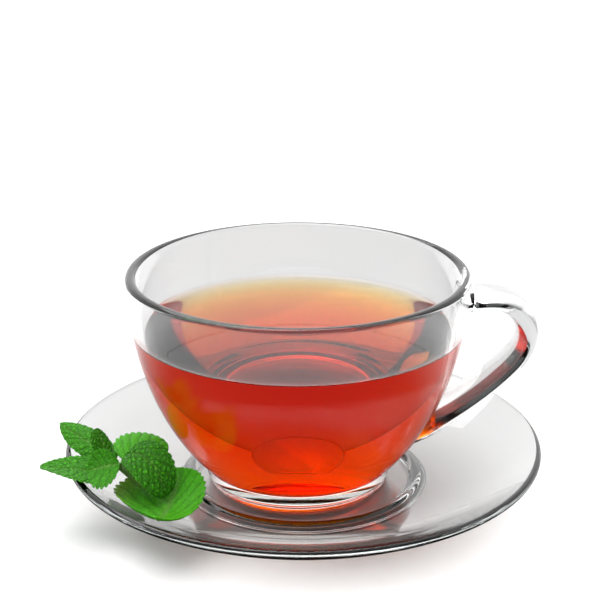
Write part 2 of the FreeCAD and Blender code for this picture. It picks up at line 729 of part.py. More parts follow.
def main():
    doc = FreeCAD.newDocument("TeaCup")
    sheet = make_sheet(doc)
    size = Sizes(sheet)
    cup = make_cup(doc, size)
    saucer = make_saucer(doc, size)
    tea = make_tea(doc, size)
    mint = make_mint(doc, size)
    doc.recompute()
    pieces = [cup, saucer, tea] + mint
    check(doc, pieces)
    os.makedirs("parts", exist_ok=True)
    for piece in pieces:
        piece.Shape.exportStep(f"parts/{piece.Label}.step")


main()
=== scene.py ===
# A clear glass cup of black tea on its glass saucer, with a sprig of mint and one loose leaf.
# Metres, +Z up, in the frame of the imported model: the saucer's axis is the Z axis, it stands on
# z = 0, and the cup's handle points along +X.

import bpy
import numpy as np
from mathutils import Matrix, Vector


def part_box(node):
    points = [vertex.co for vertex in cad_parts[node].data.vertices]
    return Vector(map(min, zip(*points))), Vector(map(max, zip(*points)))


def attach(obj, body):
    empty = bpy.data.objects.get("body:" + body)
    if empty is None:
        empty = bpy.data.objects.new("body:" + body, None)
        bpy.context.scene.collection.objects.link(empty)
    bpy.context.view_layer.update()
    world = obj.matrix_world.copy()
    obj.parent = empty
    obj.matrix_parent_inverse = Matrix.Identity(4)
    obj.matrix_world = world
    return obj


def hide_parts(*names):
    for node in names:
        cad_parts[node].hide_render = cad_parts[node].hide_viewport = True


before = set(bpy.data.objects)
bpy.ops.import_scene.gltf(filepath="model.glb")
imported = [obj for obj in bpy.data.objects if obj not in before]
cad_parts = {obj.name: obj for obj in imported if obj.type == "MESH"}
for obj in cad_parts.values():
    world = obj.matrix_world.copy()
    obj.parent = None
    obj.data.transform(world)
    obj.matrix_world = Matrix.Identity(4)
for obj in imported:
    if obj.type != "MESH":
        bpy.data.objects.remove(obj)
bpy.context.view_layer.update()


# ================================================================== the saucer
# A shallow dish of clear pressed glass, fire-polished all over: a foot ring under it, a flat well
# that the cup stands in, a low round ridge about the well, and a flange that sweeps up to a
# rounded edge. It is one turned shape.

MM = 0.001
TURN_STEPS = 256
SAUCER_RADIUS = 70.3
SAUCER_HEIGHT = 17.5
SAUCER_GLASS = 2.7
FLANGE_SAG = 2.1
WELL_TOP = 4.85
WELL_RADIUS = 31.7
RIDGE_OUT = 35.6
RIDGE_HEIGHT = 1.15
FLANGE_START = 5.2
FOOT_IN, FOOT_OUT, FOOT_HOLLOW = 32.5, 36.5, 1.6
GLASS_IOR = 1.5


def run(first, last, sag=0.0, step=0.7):
    """Points from first to last; sag is how far the middle hangs below the chord, as a parabola."""
    first, last = np.array(first, float), np.array(last, float)
    span = np.linalg.norm(last - first)
    t = np.linspace(0, 1, max(2, int(span / step)))[:, None]
    down = np.array([last[1] - first[1], first[0] - last[0]]) / span
    return first + (last - first) * t + down * sag * 4 * t * (1 - t)


def trimmed(points, head, tail):
    """The same run without its first head and last tail of length."""
    length = np.append(0, np.cumsum(np.linalg.norm(np.diff(points, axis=0), axis=1)))
    inside = length[(length > head + 1e-6) & (length < length[-1] - tail - 1e-6)]
    keep = np.concatenate([[head], inside, [length[-1] - tail]])
    return np.stack([np.interp(keep, length, points[:, axis]) for axis in (0, 1)], axis=1)


def polished(runs, rounds, steps=9):
    """One profile from runs that meet end to start, each corner an arc of its own radius: the
    arc is the conic (1-t)^2 A + 2 w t (1-t) C + t^2 B over the sum of its weights, with C the
    corner and w the cosine of half the turn."""
    heads, tails, weights = [0.0], [], []
    for before, after, radius in zip(runs, runs[1:], rounds):
        ahead = before[-1] - before[-2]
        onward = after[1] - after[0]
        cosine = ahead @ onward / np.linalg.norm(ahead) / np.linalg.norm(onward)
        half_turn = np.arccos(np.clip(cosine, -1, 1)) / 2
        reach = radius * np.tan(half_turn)
        tails.append(reach)
        heads.append(reach)
        weights.append(np.cos(half_turn))
    tails.append(0.0)
    cut = [trimmed(points, head, tail) for points, head, tail in zip(runs, heads, tails)]
    out = [cut[0]]
    t = np.linspace(0, 1, steps)[1:-1, None]
    for before, after, corner, weight in zip(cut, cut[1:], (r[0] for r in runs[1:]), weights):
        a, b, c = (1 - t) ** 2, 2 * weight * t * (1 - t), t ** 2
        out.append((a * before[-1] + b * corner + c * after[0]) / (a + b + c))
        out.append(after)
    return np.concatenate(out)


def new_piece(name, points, faces, smooth=True):
    """A mesh object at the origin from points in millimetres."""
    mesh = bpy.data.meshes.new(name)
    mesh.from_pydata((np.asarray(points) * MM).tolist(), [], faces)
    mesh.validate()
    if smooth:
        mesh.shade_smooth()
    piece = bpy.data.objects.new(name, mesh)
    bpy.context.scene.collection.objects.link(piece)
    return piece


def ring_faces(rows, around):
    """Faces of a skin of closed rings, row after row, with a fan at each end to a point of its
    own; the two end points follow the rings' points."""
    ring = np.arange(rows * around).reshape(rows, around)
    beside = np.roll(ring, -1, axis=1)
    quads = np.stack([ring[:-1], beside[:-1], beside[1:], ring[1:]], axis=-1).reshape(-1, 4)
    first, last = ring.size, ring.size + 1
    start = np.stack([np.full(around, first), beside[0], ring[0]], axis=-1)
    stop = np.stack([np.full(around, last), ring[-1], beside[-1]], axis=-1)
    return quads.tolist() + start.tolist() + stop.tolist()


def turned(name, profile, axis_x=0.0, base_z=0.0):
    """The profile (radius, height) carried once round a vertical axis: x = axis + r cos a,
    y = r sin a. Its first and last points are on the axis and close the two poles."""
    rings = profile[1:-1]
    angle = np.arange(TURN_STEPS) * 2 * np.pi / TURN_STEPS
    radius, height = rings[:, :1], rings[:, 1:]
    grid = np.stack([
        axis_x + radius * np.cos(angle), radius * np.sin(angle),
        np.broadcast_to(base_z + height, (len(rings), TURN_STEPS)),
    ], axis=-1).reshape(-1, 3)
    poles = [[axis_x, 0, base_z + profile[0, 1]], [axis_x, 0, base_z + profile[-1, 1]]]
    points = np.concatenate([grid, poles])
    return new_piece(name, points, ring_faces(len(rings), TURN_STEPS))


def clear_body(name, ior, tint, density):
    """A smooth clear body that takes its colour only through its depth."""
    material = bpy.data.materials.new(name)
    material.use_nodes = True
    nodes, links = material.node_tree.nodes, material.node_tree.links
    surface = nodes["Principled BSDF"]
    surface.inputs["Base Color"].default_value = (1, 1, 1, 1)
    surface.inputs["Roughness"].default_value = 0.0
    surface.inputs["IOR"].default_value = ior
    surface.inputs["Transmission Weight"].default_value = 1.0
    depth = nodes.new("ShaderNodeVolumeAbsorption")
    depth.inputs["Color"].default_value = (*tint, 1)
    depth.inputs["Density"].default_value = density
    links.new(depth.outputs["Volume"], nodes["Material Output"].inputs["Volume"])
    return material


def clear_glass(name, tint, density):
    """Soda-lime glass. Light on its way to what lies behind it passes it, a little weaker."""
    material = clear_body(name, GLASS_IOR, tint, density)
    nodes, links = material.node_tree.nodes, material.node_tree.links
    ray = nodes.new("ShaderNodeLightPath")
    clear = nodes.new("ShaderNodeBsdfTransparent")
    clear.inputs["Color"].default_value = (0.93, 0.93, 0.93, 1)
    either = nodes.new("ShaderNodeMixShader")
    links.new(ray.outputs["Is Shadow Ray"], either.inputs["Fac"])
    links.new(nodes["Principled BSDF"].outputs["BSDF"], either.inputs[1])
    links.new(clear.outputs["BSDF"], either.inputs[2])
    links.new(either.outputs["Shader"], nodes["Material Output"].inputs["Surface"])
    return material


under_flange = FLANGE_START - SAUCER_GLASS
under_edge = SAUCER_HEIGHT - SAUCER_GLASS
saucer_profile = polished(
    [
        run((0, FOOT_HOLLOW), (FOOT_IN, FOOT_HOLLOW), step=2.5),
        run((FOOT_IN, FOOT_HOLLOW), (FOOT_IN, 0)),
        run((FOOT_IN, 0), (FOOT_OUT, 0)),
        run((FOOT_OUT, 0), (FOOT_OUT, under_flange)),
        run((FOOT_OUT, under_flange), (SAUCER_RADIUS, under_edge), sag=FLANGE_SAG),
        run((SAUCER_RADIUS, under_edge), (SAUCER_RADIUS, SAUCER_HEIGHT), step=0.2),
        run((SAUCER_RADIUS, SAUCER_HEIGHT), (RIDGE_OUT, FLANGE_START), sag=-FLANGE_SAG),
        run((RIDGE_OUT, FLANGE_START), (WELL_RADIUS, WELL_TOP), sag=RIDGE_HEIGHT, step=0.25),
        run((WELL_RADIUS, WELL_TOP), (0, WELL_TOP), step=2.5),
    ],
    [0.5, 0.6, 0.6, 0.9, 1.1, 1.1, 0.35, 0.35],
)
saucer = turned("saucer_glass_dish", saucer_profile)
saucer.data.materials.append(clear_glass("SaucerGlass", (0.78, 0.92, 0.88), 3.0))
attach(saucer, "root")
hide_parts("saucer")


# ================================================================== the cup
# One piece of clear glass: a wide bowl on a low foot, blown thick at the bottom, with a flame-
# rounded lip, and a strap handle drawn out below the lip, bent round and pressed back on to the
# bowl, where it spreads a little into the wall at both ends.

CUP_X = -1.6
TEA_LEVEL = 46.65
MENISCUS_RISE, MENISCUS_REACH = 1.1, 1.3
RIM_RADIUS, RIM_HEIGHT = 49.5, 64.15
OUTER_DROP = 71.0
CUP_WALL = 3.0
INNER_DROP = 67.5
BOWL_FLOOR = 5.2
FLOOR_ROUND = 11.0
FOOT_RADIUS, FOOT_FLARE, FOOT_LAND, CUP_FOOT_HOLLOW = 26.5, 1.8, 4.5, 1.3
LIP_ROUND = 1.3


def bowl_radius(height, radius=RIM_RADIUS, drop=OUTER_DROP):
    """The bowl's ellipse: r = R sqrt(1 - ((rim - z) / drop)^2)."""
    return radius * np.sqrt(np.clip(1 - ((RIM_HEIGHT - height) / drop) ** 2, 0, 1))


def bowl_run(low, high, radius, drop, step=0.8):
    """The bowl's wall from one height to another, evenly spaced in the ellipse's own angle."""
    ends = np.arcsin((RIM_HEIGHT - np.array([low, high])) / drop)
    angle = np.linspace(*ends, int(abs(high - low) / step) + 8)
    return np.stack([radius * np.cos(angle), RIM_HEIGHT - drop * np.sin(angle)], axis=1)


inner_radius = RIM_RADIUS - CUP_WALL
flare_radius = FOOT_RADIUS + FOOT_FLARE
flare_top = RIM_HEIGHT - OUTER_DROP * np.sqrt(1 - (flare_radius / RIM_RADIUS) ** 2)
foot_in = FOOT_RADIUS - FOOT_LAND
inner_wall = bowl_run(RIM_HEIGHT, BOWL_FLOOR, inner_radius, INNER_DROP)
cup_profile = polished(
    [
        run((0, CUP_FOOT_HOLLOW), (foot_in, CUP_FOOT_HOLLOW), step=2.5),
        run((foot_in, CUP_FOOT_HOLLOW), (foot_in, 0)),
        run((foot_in, 0), (FOOT_RADIUS, 0)),
        run((FOOT_RADIUS, 0), (flare_radius, flare_top)),
        bowl_run(flare_top, RIM_HEIGHT, RIM_RADIUS, OUTER_DROP),
        run((RIM_RADIUS, RIM_HEIGHT), (inner_radius, RIM_HEIGHT), step=0.2),
        inner_wall,
        run(inner_wall[-1], (0, BOWL_FLOOR), step=2.5),
    ],
    [0.5, 0.8, 0.8, 1.5, LIP_ROUND, LIP_ROUND, FLOOR_ROUND],
)
cup = turned("cup_glass_bowl", cup_profile, CUP_X, WELL_TOP)

HANDLE_DROP, HANDLE_REACH = 8.1, 17.2
TOP_BEND, SIDE_BEND, LIMB_BEND = 10.5, 11.5, 90.0
HANDLE_END_HEIGHT, HANDLE_END_DEPTH = 15.6, 2.4
STRAP_WIDTH = 13.4
STRAP_THICK = (6.2, 7.5)      # under the lip, and where the strap meets the lower bowl
STRAP_FULLNESS = 2.3
BEND_EASE, BELL_STEPS = 2.6, 260
LINE_STEPS, RUN_IN, RUN_OUT = 2400, 12, 16    # the line goes on beyond both of its ends
START_DEPTH = 3.0
SURFACE_SLACK, FOOT_TOP = 0.3, 3.0
DRY_MIRROR, WET_MIRROR = 0.5, 0.05
OUTER_DULLNESS = 0.62         # how much less the bowl's outside mirrors in front of the tea
ROOT_SPREAD, ROOT_REACH = 0.22, 3.4
INTO_WALL = 0.45              # the share of the wall's thickness that the strap's ends reach into
SHARP_TURN = 40
STRAP_STEPS, STRAP_ROUND = 190, 56


def bent_line():
    """The strap's middle line: level, then three arcs that turn downwards, the last one's centre
    where it just reaches the handle's lower end; each curvature runs gently into the next, as
    a bell-shaped average of the plain arcs along their length."""
    top = RIM_HEIGHT - HANDLE_DROP
    out = RIM_RADIUS + HANDLE_REACH
    start = bowl_radius(top) - START_DEPTH
    knee = np.array([out - SIDE_BEND, top - TOP_BEND])
    end = np.array([bowl_radius(HANDLE_END_HEIGHT) - HANDLE_END_DEPTH, HANDLE_END_HEIGHT])
    gap = LIMB_BEND - SIDE_BEND
    a, b = end - knee
    reach = (LIMB_BEND ** 2 - gap ** 2 - a * a - b * b) / (2 * gap)
    turn = -np.arccos(reach / np.hypot(a, b)) - np.arctan2(b, a)
    limb = knee + gap * np.array([-np.cos(turn), np.sin(turn)])
    level = out - TOP_BEND - start
    last = -np.arctan2(end[1] - limb[1], end[0] - limb[0])
    marks = np.cumsum([level, TOP_BEND * np.pi / 2, SIDE_BEND * turn])
    total = marks[-1] + LIMB_BEND * (last - turn)
    s = np.linspace(-RUN_IN, total + RUN_OUT, LINE_STEPS)
    falling = np.clip((s - marks[0]) / TOP_BEND, 0, np.pi / 2)
    falling = falling + np.clip((s - marks[1]) / SIDE_BEND, 0, turn)
    falling = falling + np.clip((s - marks[2]) / LIMB_BEND, 0, None)
    x = start - RUN_IN + np.append(0, np.cumsum((np.cos(falling) * np.gradient(s))[:-1]))
    z = top - np.append(0, np.cumsum((np.sin(falling) * np.gradient(s))[:-1]))
    spacing = s[1] - s[0]
    bell = np.exp(-0.5 * (np.arange(-BELL_STEPS, BELL_STEPS + 1) * spacing / BEND_EASE) ** 2)
    bell /= bell.sum()
    x, z = (
        np.convolve(np.pad(line, BELL_STEPS, "reflect", reflect_type="odd"), bell, "valid")
        for line in (x, z)
    )
    heading = np.arctan2(np.gradient(z), np.gradient(x))
    return s, x, z, heading + np.pi / 2, total


LINE_S, LINE_X, LINE_Z, LINE_FACING, LINE_TOTAL = bent_line()


def handle_line(s):
    """The middle line's place and outward direction at length s."""
    return [np.interp(s, LINE_S, line) for line in (LINE_X, LINE_Z, LINE_FACING)] + [LINE_TOTAL]


def strap_surface(s, around):
    """A point of the strap: from the middle line, half the thickness along its outward side and
    half the width along Y, on a superellipse |y|^n + |t|^n = 1 that grows near the bowl."""
    x, z, facing, total = handle_line(s)
    share = np.clip(s / total, 0, 1)
    thick = STRAP_THICK[0] + (STRAP_THICK[1] - STRAP_THICK[0]) * share
    clear = np.maximum(x - bowl_radius(z), 0)
    spread = 1 + ROOT_SPREAD * np.exp(-clear / ROOT_REACH)
    power = 2 / STRAP_FULLNESS
    side = np.sign(np.cos(around)) * np.abs(np.cos(around)) ** power
    face = np.sign(np.sin(around)) * np.abs(np.sin(around)) ** power
    lift = face * thick / 2 * spread
    return np.stack([
        x + lift * np.cos(facing), side * STRAP_WIDTH / 2 * spread, z + lift * np.sin(facing),
    ], axis=-1)


def strap_mesh():
    """The strap from where its surface leaves the bowl's wall to where it enters it again. Both
    ends follow the bowl's round, nearly half way through the wall."""
    around = np.arange(STRAP_ROUND) * 2 * np.pi / STRAP_ROUND
    total = handle_line(np.zeros(1))[3]
    s = np.linspace(-4, total + 8, 1600)[:, None]
    body = strap_surface(s, around[None])
    depth = np.hypot(body[..., 0], body[..., 1]) - (bowl_radius(body[..., 2]) - CUP_WALL * INTO_WALL)
    outside = depth > 0
    first = s[outside.argmax(axis=0), 0]
    last = s[len(s) - 1 - outside[::-1].argmax(axis=0), 0]
    t = np.linspace(0, 1, STRAP_STEPS)[:, None]
    turns = np.broadcast_to(around, (STRAP_STEPS, STRAP_ROUND))
    grid = strap_surface(first + (last - first) * t, turns)
    caps = grid[[0, -1]].mean(axis=1)
    points = np.concatenate([grid.reshape(-1, 3), caps]) + [CUP_X, 0, WELL_TOP]
    return points, ring_faces(STRAP_STEPS, STRAP_ROUND)


def points_of(piece, offset):
    """A piece's vertices in millimetres, measured from the offset."""
    points = np.empty(len(piece.data.vertices) * 3)
    piece.data.vertices.foreach_get("co", points)
    return points.reshape(-1, 3) / MM - offset


def set_layer(piece, layer, values):
    """One number for each vertex, under a name that materials read."""
    piece.data.attributes.new(layer, "FLOAT", "POINT").data.foreach_set("value", values)


def dull_where(material, layer):
    """Hardly any mirror reflection where the layer is 1, as where a clear liquid wets glass."""
    nodes, links = material.node_tree.nodes, material.node_tree.links
    attribute = nodes.new("ShaderNodeAttribute")
    attribute.attribute_name = layer
    mirror = nodes.new("ShaderNodeMapRange")
    mirror.inputs["To Min"].default_value = DRY_MIRROR
    mirror.inputs["To Max"].default_value = WET_MIRROR
    links.new(attribute.outputs["Fac"], mirror.inputs["Value"])
    links.new(mirror.outputs["Result"], nodes["Principled BSDF"].inputs["Specular IOR Level"])


handle = new_piece("handle_strap", *strap_mesh())
joined = cup.modifiers.new("handle pressed on", "BOOLEAN")
joined.operation = "UNION"
joined.solver = "EXACT"
joined.object = handle
bpy.context.view_layer.update()
whole = bpy.data.meshes.new_from_object(cup.evaluated_get(bpy.context.evaluated_depsgraph_get()))
cup.modifiers.clear()
cup.data = whole
bpy.data.objects.remove(handle)
cup.data.shade_smooth()
cup.data.set_sharp_from_angle(angle=np.radians(SHARP_TURN))
cup.data.materials.clear()
cup_glass = clear_glass("CupGlass", (0.80, 0.92, 0.90), 3.0)
cup.data.materials.append(cup_glass)
cup_x, cup_y, cup_z = points_of(cup, [CUP_X, 0, WELL_TOP]).T
inside = np.hypot(cup_x, cup_y) < bowl_radius(cup_z, inner_radius, INNER_DROP) + SURFACE_SLACK
under_tea = (cup_z > BOWL_FLOOR - SURFACE_SLACK) & (cup_z < TEA_LEVEL + MENISCUS_RISE)
facing_tea = ~inside & (cup_x < RIM_RADIUS) & (cup_z > FOOT_TOP) & (cup_z < TEA_LEVEL)
set_layer(cup, "wet", (inside & under_tea) + OUTER_DULLNESS * facing_tea)
dull_where(cup_glass, "wet")
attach(cup, "root")
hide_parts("cup")


# ================================================================== the tea
# Clear black tea. It fills the bowl, wets the wall and climbs it by about a millimetre, so its
# body reaches a little way into the glass. Its colour is all in its depth: deep orange-red
# across the bowl and amber where it thins at the edges.

TEA_INTO_WALL = 0.12
WALL_TOUCH = 0.02
EDGE_BAND = 6.0
TEA_TINT = (0.975, 0.725, 0.03)
TEA_STRENGTH = 200.0
TEA_IOR = 1.333

tea_top = TEA_LEVEL + MENISCUS_RISE
wet_radius = bowl_radius(tea_top, inner_radius, INNER_DROP) + TEA_INTO_WALL
from_wall = np.concatenate([np.linspace(0, EDGE_BAND, 30), np.linspace(EDGE_BAND, wet_radius, 24)[1:]])
tea_surface = np.stack([
    wet_radius - from_wall, TEA_LEVEL + MENISCUS_RISE * np.exp(-from_wall / MENISCUS_REACH)
], axis=1)
wet_wall = bowl_run(BOWL_FLOOR, tea_top, inner_radius, INNER_DROP)
wet_wall = wet_wall + [TEA_INTO_WALL, 0]
wet_wall[0, 1] -= TEA_INTO_WALL
tea_profile = polished(
    [run((0, wet_wall[0, 1]), wet_wall[0], step=2.0), wet_wall, tea_surface],
    [FLOOR_ROUND, 0.05],
)
tea = turned("tea_in_cup", tea_profile, CUP_X, WELL_TOP)
tea_material = clear_body("BlackTea", TEA_IOR, TEA_TINT, TEA_STRENGTH)
tea_x, tea_y, tea_z = points_of(tea, [CUP_X, 0, WELL_TOP]).T
wall_radius = bowl_radius(tea_z, inner_radius, INNER_DROP) + TEA_INTO_WALL
against_wall = np.hypot(tea_x, tea_y) > wall_radius - WALL_TOUCH
set_layer(tea, "wet", (against_wall | (tea_z < TEA_LEVEL - SURFACE_SLACK)).astype(float))
dull_where(tea_material, "wet")
tea.data.materials.append(tea_material)
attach(tea, "root")
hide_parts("tea")


# ================================================================== the mint stalk
# The sprig's round green stalk. It lies under the leaves, and a short thin petiole carries each
# of five leaves from the stalk's node; the sixth and youngest sits on the stalk's own end.

STALK_RADIUS, PETIOLE_RADIUS = 0.95, 0.5
STALK_LINE = ((-3.4, 1.0, 1.8), (0.0, 0.0, 0.0), (4.5, -4.0, -1.8), (11.0, -9.5, -3.4))
PETIOLE_ENDS = (
    (-1.2, -0.1, -1.7), (0.6, -4.8, 3.2), (-1.5, 4.1, 0.2), (1.7, 0.9, 0.8), (1.1, -0.2, 1.8),
)


def tube(line, radius, steps=60, around=20):
    """A round tube along a smooth line through a few points: a Catmull-Rom curve, carried by a
    frame of its tangent, a level side and their cross product, with a rounded close at each end."""
    line = np.array(line, float)
    ends = np.concatenate([[2 * line[0] - line[1]], line, [2 * line[-1] - line[-2]]])
    t = np.linspace(0, len(line) - 1 - 1e-9, steps)
    k, f = t.astype(int), (t % 1)[:, None]
    a, b, c, d = ends[k], ends[k + 1], ends[k + 2], ends[k + 3]
    squared, cubed = 2 * a - 5 * b + 4 * c - d, 3 * b - a - 3 * c + d
    middle = 0.5 * (2 * b + (c - a) * f + squared * f ** 2 + cubed * f ** 3)
    ahead = np.gradient(middle, axis=0)
    ahead /= np.linalg.norm(ahead, axis=1)[:, None]
    side = np.cross(ahead, [0.0, 0.0, 1.0])
    side /= np.linalg.norm(side, axis=1)[:, None]
    up = np.cross(side, ahead)
    share = np.linspace(0, 1, steps)
    swell = np.clip(np.minimum(share, 1 - share) * steps / 3, 0, 1)[:, None, None]
    size = radius * np.sqrt(1 - (1 - swell) ** 2 * 0.96)
    turn = np.arange(around)[None, :, None] * 2 * np.pi / around
    grid = middle[:, None] + size * (side[:, None] * np.cos(turn) + up[:, None] * np.sin(turn))
    points = np.concatenate([grid.reshape(-1, 3), middle[:1], middle[-1:]])
    return points, [face[:1] + face[:0:-1] for face in ring_faces(steps, around)]


def set_over(points, node):
    """The same points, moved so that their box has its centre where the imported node's box does."""
    low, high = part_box(node)
    middle = (np.array(low) + np.array(high)) / 2 / MM
    return points + middle - (points.min(axis=0) + points.max(axis=0)) / 2


stalk_points, stalk_faces = tube(STALK_LINE, STALK_RADIUS)
for petiole_end in PETIOLE_ENDS:
    more_points, more_faces = tube(((0, 0, 0), petiole_end), PETIOLE_RADIUS, steps=14, around=14)
    stalk_faces += [[corner + len(stalk_points) for corner in face] for face in more_faces]
    stalk_points = np.concatenate([stalk_points, more_points])
stalk = new_piece("mint_stalk", set_over(stalk_points, "mint_stem"), stalk_faces)
stalk_green = bpy.data.materials.new("MintStalk")
stalk_green.use_nodes = True
stalk_skin = stalk_green.node_tree.nodes["Principled BSDF"]
stalk_skin.inputs["Base Color"].default_value = (0.105, 0.24, 0.03, 1)
stalk_skin.inputs["Roughness"].default_value = 0.5
stalk_skin.inputs["Subsurface Weight"].default_value = 0.1
stalk_skin.inputs["Subsurface Radius"].default_value = (0.0006, 0.001, 0.0003)
stalk.data.materials.append(stalk_green)
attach(stalk, "root")
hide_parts("mint_stem")


# ================================================================== the mint leaves
# Seven fresh leaves of one kind: six on the sprig and one that lies by itself. Each blade grows
# from its base along a bending midrib, is puckered between its sunken veins, and ends in a
# margin of blunt teeth.

# Each leaf's size and pose: the midrib's length, its heading and pitch and how far each turns on
# the way to the tip, then the blade's width, its roll about the midrib and the twist that adds to
# it, its curl across, the fullness of its base and tip, the share of its width on the right, its
# margins' sweep towards the tip, and how many teeth they have and how deep.
LEAF_POSE = (
    "length", "heading", "turn", "pitch", "droop", "width", "roll", "twist", "curl", "base_fullness",
    "tip_fullness", "lobe", "sweep", "teeth", "tooth_depth",
)
LEAF_POSES = {
    "left": (21.4, -172, -1, 9, -3, 15.2, 16, -28, 18, 0.47, 0.52, 0.78, 0.08, 13, 0.085),
    "cupped": (9.4, -167, -21, -3, -19, 14.2, 32, 7, 46, 0.80, 0.82, 0.70, 0.01, 9, 0.136),
    "back_left": (26.8, 142, -14, 10, -8, 8.8, 30, 2, -25, 0.53, 0.69, 1.05, 0.10, 11, 0.068),
    "young": (9.5, 129, -10, 54, -9, 8.2, -24, -9, -13, 0.50, 0.65, 0.99, 0.19, 7, 0.085),
    "back": (15.0, 66, -55, 16, -30, 13.8, -26, 5, -22, 0.38, 0.64, 0.78, 0.29, 12, 0.102),
    "arched": (26.1, -51, 13, 62, -154, 12.2, -30, 21, -8, 0.53, 0.66, 1.05, 0.44, 14, 0.085),
    "loose": (31.8, 87, -13, -42, 86, 27.0, -15, 52, 28, 0.95, 1.00, 0.75, 0.55, 15, 0.076),
}
# Its skin: the pucker's height, the number of side veins, how bright and how yellow its green is,
# and how deeply its small cells are furrowed. The brightness is painted shade: leaves that lie in
# shade get a darker green. The furrow depth drives the relief and also painted shade in the furrows.
LEAF_SKIN = ("pucker", "side_veins", "painted_light", "yellowing", "crumple_and_shade")
LEAF_SKINS = {
    "left": (0.44, 8, 0.85, 0.0, 0.6),
    "cupped": (0.24, 5, 0.55, 0.0, 0.4),
    "back_left": (0.32, 8, 0.70, 0.0, 0.55),
    "young": (0.22, 5, 0.50, 0.0, 0.55),
    "back": (0.24, 6, 1.00, 0.0, 0.2),
    "arched": (0.58, 9, 0.60, 0.0, 0.75),
    "loose": (0.34, 7, 1.00, 0.6, 0.25),
}
LEAF_END_WIDTH = 0.7
BLADE_THICKNESS = 0.42
LEAF_ROWS, LEAF_COLUMNS = 230, 60


def swing(start, change, along):
    """The integral of cos(start + change t) from 0 to along, by the sine-over-angle form."""
    half = change * along / 2
    return along * np.cos(start + half) * np.sinc(half / np.pi)


def midrib_frame(shape, along):
    """Points of a midrib whose heading and pitch change evenly, and the blade's directions."""
    length = shape["length"]
    heading, turn, pitch, droop = (np.radians(shape[k]) for k in ("heading", "turn", "pitch", "droop"))
    plus, minus, quarter = pitch + heading, pitch - heading, np.pi / 2
    middle = length / 2 * np.stack([
        swing(plus, droop + turn, along) + swing(minus, droop - turn, along),
        swing(plus - quarter, droop + turn, along) - swing(minus - quarter, droop - turn, along),
        2 * swing(pitch - quarter, droop, along),
    ], axis=-1)
    heading, pitch = heading + turn * along, pitch + droop * along
    ahead = np.stack([
        np.cos(pitch) * np.cos(heading), np.cos(pitch) * np.sin(heading), np.sin(pitch),
    ], axis=-1)
    right = np.stack([np.sin(heading), -np.cos(heading), 0 * heading], axis=-1)
    face = np.cross(right, ahead)
    roll = np.radians(shape["roll"] + shape["twist"] * along)[..., None]
    across = right * np.cos(roll) + face * np.sin(roll)
    outward = face * np.cos(roll) - right * np.sin(roll)
    return middle, ahead, across, outward


def half_width(shape, along, side):
    """Midrib to margin: a power curve u^p (1-u)^q, wider on one side, with rounded saw teeth."""
    low, high, lobe, depth = (shape[k] for k in ("base_fullness", "tip_fullness", "lobe", "tooth_depth"))
    widest = low / (low + high)
    share = along ** low * (1 - along) ** high / (widest ** low * (1 - widest) ** high)
    saw = (along * shape["teeth"]) % 1.0
    bump = 1.9 * depth * (saw ** 0.6 * (1 - saw ** 3)) - depth * 0.3
    near_margin = np.clip((np.abs(side) - 0.6) / 0.4, 0, 1) ** 1.5
    wide = shape["width"] / 2 * share * np.where(side > 0, lobe, 2 - lobe) * (1 + bump * near_margin)
    return np.maximum(wide, LEAF_END_WIDTH / 2)


def veins(shape, along, side, seed):
    """Height of the puckered blade, a mask of its sunken veins, which the material darkens as painted
    shade, and a mask of its midrib. Side veins leave the midrib and bow to the tip; small veins cross
    between them at uneven places; the blade swells in each cell as the product of two half sines,
    and sinks along the midrib as a narrow bell."""
    wander = 0.10 * np.sin(7.3 * along + 5 * side + seed)
    wander = wander + 0.07 * np.sin(17 * along - 9 * side + 2 * seed)
    across = np.abs(side)
    bowed = along - 0.30 * across ** 0.8 * (1 - 0.35 * along)
    vein = bowed * shape["side_veins"] * 0.95 + wander + 0.5 * (side > 0)
    panel = np.floor(vein)
    between = np.abs(np.sin(np.pi * vein)) ** 0.55
    small = across * (5.5 + 1.5 * np.sin(panel * 12.9 + seed)) + 0.37 * panel + 2.2 * wander
    crossing = np.abs(np.sin(np.pi * small)) ** 0.6
    cell = between * (0.55 + 0.45 * crossing)
    fine = np.abs(np.sin(np.pi * (vein * 2.3 + 3 * wander)))
    fine = fine * np.abs(np.sin(np.pi * (small * 2.1 + wander * 4)))
    midrib = np.exp(-(side / 0.07) ** 2)
    fade = np.clip((1 - across) / 0.12, 0, 1) ** 0.5 * np.clip(along / 0.06, 0, 1)
    height = (cell * 0.85 + 0.15 * fine - 0.55) * fade - 1.1 * midrib
    vein_shade_mask = np.clip(1 - between * 1.25, 0, 1) * 0.7 + np.clip(1 - crossing * 1.5, 0, 1) * 0.3
    return height, np.clip(vein_shade_mask * fade, 0, 1), midrib


